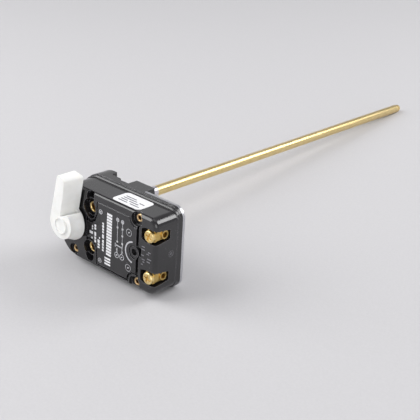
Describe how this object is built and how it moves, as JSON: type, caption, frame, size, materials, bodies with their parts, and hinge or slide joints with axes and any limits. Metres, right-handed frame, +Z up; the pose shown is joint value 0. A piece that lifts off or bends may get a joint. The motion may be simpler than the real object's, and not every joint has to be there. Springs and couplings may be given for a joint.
{
  "type": "water heater rod thermostat",
  "caption": "Rod thermostat for a storage water heater: flat moulded case with a lever knob, screw terminals, plug sockets and a long brass stem.",
  "frame": {"origin": "on the stem axis, at the rear face of the steel back plate", "axes": "+Y along the stem, from the back plate to the tip; +X towards the terminal end of the case; +Z up, the side with the blank label"},
  "size_m": [0.073, 0.3307, 0.0514],
  "materials": {
    "black_moulding": "glossy",
    "white_moulding": "satin",
    "brown_insulation": "matt",
    "brass": "satin",
    "copper_alloy": "satin",
    "contact_silver": "satin",
    "plated_steel": "satin",
    "spring_steel": "satin",
    "label_paper": "matt"
  },
  "bodies": {
    "case": {"front_housing": "black_moulding", "rear_base": "black_moulding", "back_plate": "plated_steel", "stem_tube": "brass", "stem_plug": "brass", "stem_sleeve": "plated_steel", "rocker_spring": "spring_steel", "fixed_contact_upper": "contact_silver", "fixed_contact_lower": "contact_silver", "fixed_strip_upper": "brass", "fixed_strip_lower": "brass", "socket_upper": "brass", "socket_lower": "brass", "terminal_upper": "brass", "terminal_lower": "brass", "rivet_right_upper": "brass", "rivet_right_lower": "brass", "rivet_left_upper": "brass", "rivet_left_lower": "brass", "cutout_disc": "spring_steel", "disc_carrier": "brown_insulation", "reset_spring": "spring_steel", "blank_label": "label_paper"},
    "selector": {"control_knob": "white_moulding", "knob_spindle": "plated_steel", "spindle_clip": "spring_steel"},
    "setting_nut": {"setting_nut": "brass"},
    "rocker": {"rocker": "plated_steel", "switch_bridge": "brown_insulation"},
    "expansion_rod": {"expansion_rod": "spring_steel"},
    "blade_upper": {"blade_upper": "copper_alloy", "moving_contact_upper": "contact_silver"},
    "blade_lower": {"blade_lower": "copper_alloy", "moving_contact_lower": "contact_silver"},
    "trip_bar": {"trip_bar": "brown_insulation"},
    "reset_button": {"reset_button": "black_moulding"},
    "clamp_upper": {"clamp_washer_upper": "brass", "terminal_screw_upper": "brass"},
    "clamp_lower": {"clamp_washer_lower": "brass", "terminal_screw_lower": "brass"}
  },
  "joints": [
    {"name": "knob_turn", "type": "hinge", "parent": "case", "child": "selector", "pos_m": [0.0008, -0.025, 0.0003], "axis": [0, 1, 0], "range_deg": [-135, 135]},
    {"name": "nut_travel", "type": "slide", "parent": "case", "child": "setting_nut", "axis": [0, 1, 0], "range_m": [-0.00019, 0.00019]},
    {"name": "rod_travel", "type": "slide", "parent": "case", "child": "expansion_rod", "axis": [0, 1, 0], "range_m": [0, 0.0003]},
    {"name": "rocker_tilt", "type": "hinge", "parent": "setting_nut", "child": "rocker", "pos_m": [0.005, -0.0091, 0], "axis": [0, 0, 1], "range_deg": [-3.5, 0]},
    {"name": "blade_upper_flex", "type": "hinge", "parent": "case", "child": "blade_upper", "pos_m": [0.0475, -0.0126, 0.0103], "axis": [0, 0, 1], "range_deg": [0, 3.9]},
    {"name": "blade_lower_flex", "type": "hinge", "parent": "case", "child": "blade_lower", "pos_m": [0.0475, -0.0126, -0.0125], "axis": [0, 0, 1], "range_deg": [0, 3.9]},
    {"name": "trip_bar_travel", "type": "slide", "parent": "case", "child": "trip_bar", "axis": [0, -1, 0], "range_m": [0, 0.0009]},
    {"name": "reset_press", "type": "slide", "parent": "case", "child": "reset_button", "axis": [0, 1, 0], "range_m": [0, 0.0015], "stiffness_N_per_m": 300, "springref_m": -0.0005, "deforming": ["reset_spring"]},
    {"name": "clamp_upper_travel", "type": "slide", "parent": "case", "child": "clamp_upper", "axis": [0, -1, 0], "range_m": [0, 0.0018]},
    {"name": "clamp_lower_travel", "type": "slide", "parent": "case", "child": "clamp_lower", "axis": [0, -1, 0], "range_m": [0, 0.0018]}
  ],
  "couplings": [
    {"joint": "nut_travel", "follows": "knob_turn", "m_per_rad": 0.0000796},
    {"joint": "rocker_tilt", "follows": "rod_travel", "rad_per_m": -200},
    {"joint": "blade_upper_flex", "follows": "rod_travel", "rad_per_m": 223},
    {"joint": "blade_lower_flex", "follows": "rod_travel", "rad_per_m": 223}
  ]
}
